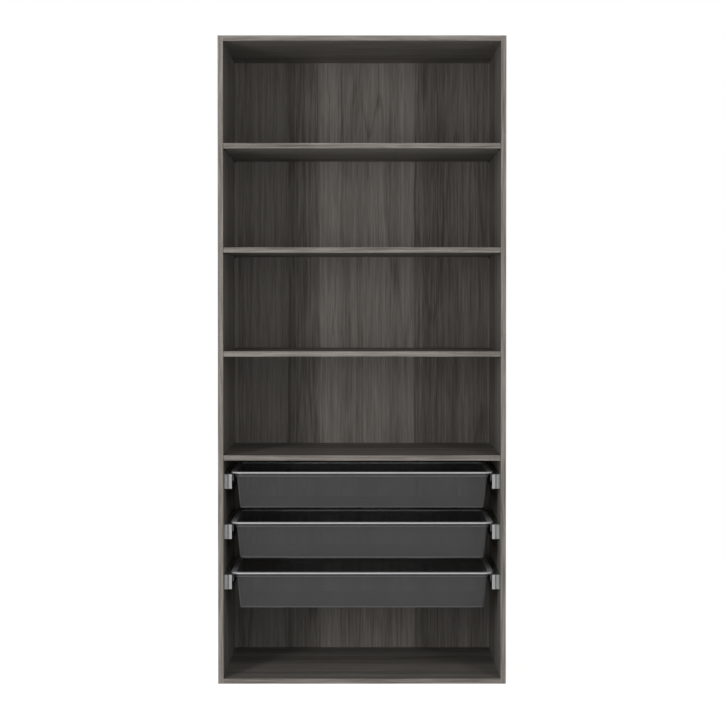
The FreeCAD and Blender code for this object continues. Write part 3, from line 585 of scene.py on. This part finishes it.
def rounded_outline(half_wide, half_deep, radius, cuts, middle):
    """A flat rounded rectangle at a middle point, as one face."""
    bpy.ops.object.select_all(action="DESELECT")
    bpy.ops.mesh.primitive_plane_add(size=2)
    outline = bpy.context.object
    edit(outline)
    bpy.ops.transform.resize(value=(half_wide, half_deep, 1))
    bpy.ops.mesh.bevel(affect="VERTICES", offset=radius, offset_type="OFFSET", segments=cuts)
    bpy.ops.mesh.select_all(action="SELECT")
    bpy.ops.transform.translate(value=middle)
    bpy.ops.object.mode_set(mode="OBJECT")
    return outline


def path_of(outline):
    """A one-face outline as a closed path, with the distances of its corners and its direction."""
    edit(outline)
    bpy.ops.mesh.delete(type="ONLY_FACE")
    bpy.ops.object.mode_set(mode="OBJECT")
    bpy.ops.object.convert(target="CURVE")
    path = bpy.context.object
    path.data.dimensions = "3D"
    path.data.twist_mode = "Z_UP"
    points = [Vector(point.co[:3]) for point in path.data.splines[0].points]
    following = points[1:] + points[:1]
    marks = [0.0]
    for start, end in zip(points, following):
        marks.append(marks[-1] + (end - start).length)
    area = sum(start.x * end.y - end.x * start.y for start, end in zip(points, following)) / 2
    return path, marks, 1 if area > 0 else -1


def mesh_tub(sizes):
    """The upper basket's tub: crossing strands round four leaning walls and over the floor."""
    middle = (TUB_LOW + TUB_HIGH) / 2
    half = (TUB_HIGH - TUB_LOW) / 2
    inset = sizes.sheet / 2
    drop = TUB_HIGH.z - TUB_LOW.z
    slope = math.hypot(drop, sizes.lean)

    outline = rounded_outline(
        half.x - inset, half.y - inset, sizes.corner - inset, sizes.corner_cuts, (middle.x, middle.y, 0)
    )
    path, marks, sense = path_of(outline)
    around = marks[-1]
    pitch = around / round(around / sizes.diamond)
    walls = strand_rows(around, slope, pitch, sizes)
    edit(walls)
    for mark in marks[1:-1]:
        slice_at((mark, 0, 0), (1, 0, 0))
    bpy.ops.mesh.select_all(action="SELECT")
    bpy.ops.transform.rotate(
        value=-sense * math.atan2(sizes.lean, drop), orient_axis="X", center_override=(0, 0, slope)
    )
    bpy.ops.transform.translate(value=(0, 0, TUB_HIGH.z - slope))
    bpy.ops.object.mode_set(mode="OBJECT")
    apply_modifier(walls, "CURVE", object=path, deform_axis="POS_X")
    bpy.data.objects.remove(path)

    foot = Vector((half.x - sizes.lean, half.y - sizes.lean, 0))
    floor = strand_rows(2 * foot.x, 2 * foot.y, sizes.diamond, sizes)
    edit(floor)
    bpy.ops.transform.rotate(value=math.pi / 2, orient_axis="X", center_override=(0, 0, 0))
    bpy.ops.object.mode_set(mode="OBJECT")
    low = min(vertex.co.y for vertex in floor.data.vertices)
    edit(floor)
    bpy.ops.transform.translate(
        value=(middle.x - foot.x, middle.y - foot.y - low, TUB_LOW.z + sizes.seam)
    )
    bpy.ops.object.mode_set(mode="OBJECT")

    outline = rounded_outline(
        foot.x - sizes.seam, foot.y - sizes.seam, SEAM_CORNER, SEAM_CUTS,
        (middle.x, middle.y, TUB_LOW.z + sizes.seam),
    )
    seam = path_of(outline)[0]
    seam.data.bevel_depth = sizes.seam
    seam.data.bevel_resolution = 2
    select_only(seam)
    bpy.ops.object.convert(target="MESH")
    seam = bpy.context.object

    select_only(walls)
    floor.select_set(True)
    seam.select_set(True)
    bpy.ops.object.join()
    settle(walls)
    return walls


def folded_hem(sizes):
    """The folded band under the upper basket's rim, round the top of the mesh."""
    middle = (RIM_LOW + RIM_HIGH) / 2
    half = (RIM_HIGH - RIM_LOW) / 2
    low = RIM_HIGH.z - sizes.hem_drop
    hem = rounded_outline(
        half.x - sizes.hem_inset, half.y - sizes.hem_inset, sizes.hem_corner, sizes.corner_cuts,
        (middle.x, middle.y, low),
    )
    edit(hem)
    bpy.ops.mesh.inset(thickness=sizes.hem_depth)
    bpy.ops.mesh.delete(type="FACE")
    bpy.ops.mesh.select_all(action="SELECT")
    bpy.ops.mesh.extrude_region_move(TRANSFORM_OT_translate={"value": (0, 0, sizes.hem_height)})
    bpy.ops.mesh.select_all(action="SELECT")
    bpy.ops.mesh.normals_make_consistent(inside=False)
    bpy.ops.object.mode_set(mode="OBJECT")
    apply_modifier(
        hem, "BEVEL", width=sizes.hem_depth * HEM_FOLD, segments=HEM_CUTS, limit_method="ANGLE",
        angle_limit=math.radians(50),
    )
    bpy.ops.object.shade_smooth_by_angle(angle=math.radians(40))
    settle(hem)
    return hem


def hang(pattern, name, material, replaced=None):
    """Copies of a piece at the three baskets, each with its own mesh, and the pattern taken away."""
    for level in LEVELS:
        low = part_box(f"{level}_basket_tub")[0]
        piece = pattern.copy()
        piece.data = pattern.data.copy()
        piece.name = piece.data.name = f"{level}_{name}"
        piece.data.transform(Matrix.Translation(low - TUB_LOW))
        piece.data.materials.clear()
        piece.data.materials.append(material)
        bpy.context.scene.collection.objects.link(piece)
        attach(piece, f"{level}_basket")
        if replaced:
            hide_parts(f"{level}_{replaced}")
    bpy.data.objects.remove(pattern)


class WARDROBE_OT_boards(bpy.types.Operator):
    """Finish the boards and their edging in oak"""

    bl_idname = "wardrobe.boards"
    bl_label = "Finish Boards"

    def execute(self, context):
        sizes = context.scene.wardrobe_oak
        paint_nodes(("left_side_panel", "right_side_panel"), oak("oak_upright", "upright", sizes))
        paint_nodes(("back_panel",), oak("oak_back", "upright", sizes))
        level_boards = ["top_panel", "bottom_panel"] + [f"shelf_{number}" for number in range(1, 5)]
        paint_nodes(level_boards, oak("oak_level", "level", sizes))
        # The edging is the same oak drawn paler by the lift: painted light on the front edges.
        edging_painted_light = oak("oak_edging", "strips", sizes, painted_light_lift=sizes.edging_painted_light, broad=0.25, contrast=1.3)
        paint_nodes(("front_edge_strips",), edging_painted_light)
        return {"FINISHED"}


class WARDROBE_OT_fittings(bpy.types.Operator):
    """Finish the pins, screws, cams and dowels of the boards"""

    bl_idname = "wardrobe.fittings"
    bl_label = "Finish Fittings"

    def execute(self, context):
        tints = context.scene.wardrobe_metal
        bright = rolled_metal("bright_steel", tints.bright, 0.24, 0.10)
        paint_nodes(("cam_bolts", "runner_screws"), bright)
        # The shelf pins are drawn in a dark steel tint.
        dark_pins = rolled_metal("dark_pin_steel", tints.pin, 0.40, 0.12)
        paint_nodes(("shelf_pins",), dark_pins)
        paint_nodes(("cam_locks",), cast_metal("cam_metal", tints.cam))
        paint_nodes(("corner_dowels",), beech("dowel_beech", tints.beech))
        return {"FINISHED"}


class WARDROBE_OT_runners(bpy.types.Operator):
    """Finish the rails, carriers, balls, rivets, clips and caps of the six runners"""

    bl_idname = "wardrobe.runners"
    bl_label = "Finish Runners"

    def execute(self, context):
        tints = context.scene.wardrobe_metal
        zinc = rolled_metal("zinc_plate", tints.zinc, 0.36, 0.16, (1, 0.03, 1))
        ball = rolled_metal("ball_steel", tints.bright, 0.16, 0.06)
        cap = satin_cap("cap_metal", tints.cap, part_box("upper_runner_caps")[0].y + CAP_GROOVE)
        pieces = ("outer_rail", "middle_rail", "inner_rail", "carrier")
        turned = ("outer_ball_cages", "inner_ball_cages", "carrier_rivets")
        for level in LEVELS:
            paint_nodes([f"{level}_{side}_{piece}" for side in SIDES for piece in pieces], zinc)
            paint_nodes((f"{level}_basket_clips",), zinc)
            paint_nodes([f"{level}_{piece}" for piece in turned], ball)
            paint_nodes((f"{level}_runner_caps",), cap)
        return {"FINISHED"}


class WARDROBE_OT_rims(bpy.types.Operator):
    """Paint the rims of the three baskets, with a painted highlight along the top of the turned-down
    edge
    """

    bl_idname = "wardrobe.rims"
    bl_label = "Paint Rims"

    def execute(self, context):
        sizes = context.scene.wardrobe_basket
        # The rims get the basket's paint, with a painted highlight in the pale tint over the top of the
        # turned-down edge.
        share = 1 - (sizes.rim_highlight_height + 0.0001) / (RIM_HIGH.z - RIM_LOW.z)
        paint = satin_paint("rim_paint_and_highlight", sizes.paint, 0.30, edge=(sizes.rim_paint_and_highlight, share))
        paint_nodes([f"{level}_basket_rim" for level in LEVELS], paint)
        return {"FINISHED"}


class WARDROBE_OT_tubs(bpy.types.Operator):
    """Make the mesh tubs of the three baskets"""

    bl_idname = "wardrobe.tubs"
    bl_label = "Make Mesh Tubs"

    def execute(self, context):
        sizes = context.scene.wardrobe_basket
        paint = satin_paint("mesh_paint", sizes.strand_paint, 0.40, gloss=0.8)
        hang(mesh_tub(sizes), "basket_mesh", paint, "basket_tub")
        return {"FINISHED"}


class WARDROBE_OT_hems(bpy.types.Operator):
    """Make the folded hems under the rims of the three baskets"""

    bl_idname = "wardrobe.hems"
    bl_label = "Make Hems"

    def execute(self, context):
        sizes = context.scene.wardrobe_basket
        # Basket paint drawn lighter on the hem, as a painted highlight.
        paint = satin_paint("hem_paint_and_highlight", sizes.hem_paint_and_highlight, 0.30)
        hang(folded_hem(sizes), "basket_hem", paint)
        return {"FINISHED"}


class WARDROBE_OT_stage(bpy.types.Operator):
    """Set the floor, the lamps, the white surround and the camera"""

    bl_idname = "wardrobe.stage"
    bl_label = "Set Stage"

    def execute(self, context):
        sizes = context.scene.wardrobe_stage
        scene = context.scene
        scene.view_settings.view_transform = "Standard"
        self.floor(sizes)
        self.surround(scene, sizes)
        self.lamps(sizes)
        self.camera(scene, sizes)
        return {"FINISHED"}

    def floor(self, sizes):
        """A pale floor that looks white and keeps the shadow."""
        bpy.ops.object.select_all(action="DESELECT")
        bpy.ops.mesh.primitive_plane_add(size=FLOOR_SIZE)
        floor = bpy.context.object
        floor.name = "studio_floor"
        finish = new_finish("studio_floor")
        glow = finish.mix(finish.seen(), (0, 0, 0), (sizes.glow,) * 3)
        floor.data.materials.append(finish.surface({
            "Base Color": tuple(sizes.floor),
            "Roughness": 0.9,
            "Specular IOR Level": 0.0,
            "Emission Color": glow,
            "Emission Strength": 1.0,
        }))

    def surround(self, scene, sizes):
        """A surround that looks white and lights the frame softly."""
        world = bpy.data.worlds.new("studio_surround")
        scene.world = world
        finish = Finish(world)
        light = finish.mix(finish.seen(), (sizes.dome,) * 3, (1, 1, 1))
        background = finish.node("ShaderNodeBackground", None, {"Color": light, "Strength": 1.0})
        finish.node("ShaderNodeOutputWorld", None, {"Surface": background})

    def lamps(self, sizes):
        """Two tall strip lamps in front, aimed level at the middle."""
        strips = (("left_strip", -1, sizes.left_power), ("right_strip", 1, sizes.right_power))
        for name, side, energy in strips:
            data = bpy.data.lights.new(name, "AREA")
            data.shape = "RECTANGLE"
            data.size = sizes.strip_width
            data.size_y = sizes.strip_height
            data.energy = energy
            lamp = bpy.data.objects.new(name, data)
            lamp.location = (side * sizes.strip_aside, -sizes.strip_ahead, sizes.strip_middle)
            aim = Vector((-lamp.location.x, -lamp.location.y, 0))
            lamp.rotation_euler = aim.to_track_quat("-Z", "Y").to_euler()
            lamp.visible_camera = False
            bpy.context.scene.collection.objects.link(lamp)

    def camera(self, scene, sizes):
        """The photo's camera."""
        data = bpy.data.cameras.new("photo_camera")
        camera = bpy.data.objects.new("photo_camera", data)
        data.sensor_width = SENSOR_WIDTH
        data.lens = sizes.lens
        data.shift_y = sizes.shift
        camera.location = (0, CAD_BOX[0].y - sizes.camera_distance, sizes.camera_height)
        camera.rotation_euler = (math.pi / 2 - sizes.camera_tilt, 0, 0)
        scene.collection.objects.link(camera)
        scene.camera = camera


class WARDROBE_PT_sidebar(bpy.types.Panel):
    """Steps that finish the wardrobe frame"""

    bl_idname = "WARDROBE_PT_sidebar"
    bl_label = "Wardrobe Frame"
    bl_space_type = "VIEW_3D"
    bl_region_type = "UI"
    bl_category = "Wardrobe"

    def draw(self, context):
        for step in STEPS:
            self.layout.operator(step.bl_idname)
        for group in GROUPS:
            values = getattr(context.scene, group)
            box = self.layout.box()
            for name in values.__annotations__:
                box.prop(values, name)


GROUPS = {
    "wardrobe_oak": OakFinish,
    "wardrobe_metal": MetalFinish,
    "wardrobe_basket": BasketMesh,
    "wardrobe_stage": StudioStage,
}
STEPS = (
    WARDROBE_OT_boards,
    WARDROBE_OT_fittings,
    WARDROBE_OT_runners,
    WARDROBE_OT_rims,
    WARDROBE_OT_tubs,
    WARDROBE_OT_hems,
    WARDROBE_OT_stage,
)


def register():
    """Add the classes and the scene's values."""
    for item in (*GROUPS.values(), *STEPS, WARDROBE_PT_sidebar):
        bpy.utils.register_class(item)
    for name, group in GROUPS.items():
        setattr(bpy.types.Scene, name, PointerProperty(type=group))


def unregister():
    """Take away the scene's values and the classes."""
    for name in GROUPS:
        delattr(bpy.types.Scene, name)
    for item in reversed((*GROUPS.values(), *STEPS, WARDROBE_PT_sidebar)):
        bpy.utils.unregister_class(item)


def main():
    """Finish the frame step by step."""
    register()
    bpy.ops.wardrobe.boards()
    bpy.ops.wardrobe.fittings()
    bpy.ops.wardrobe.runners()
    bpy.ops.wardrobe.rims()
    bpy.ops.wardrobe.tubs()
    bpy.ops.wardrobe.hems()
    bpy.ops.wardrobe.stage()


if __name__ == "__main__":
    main()
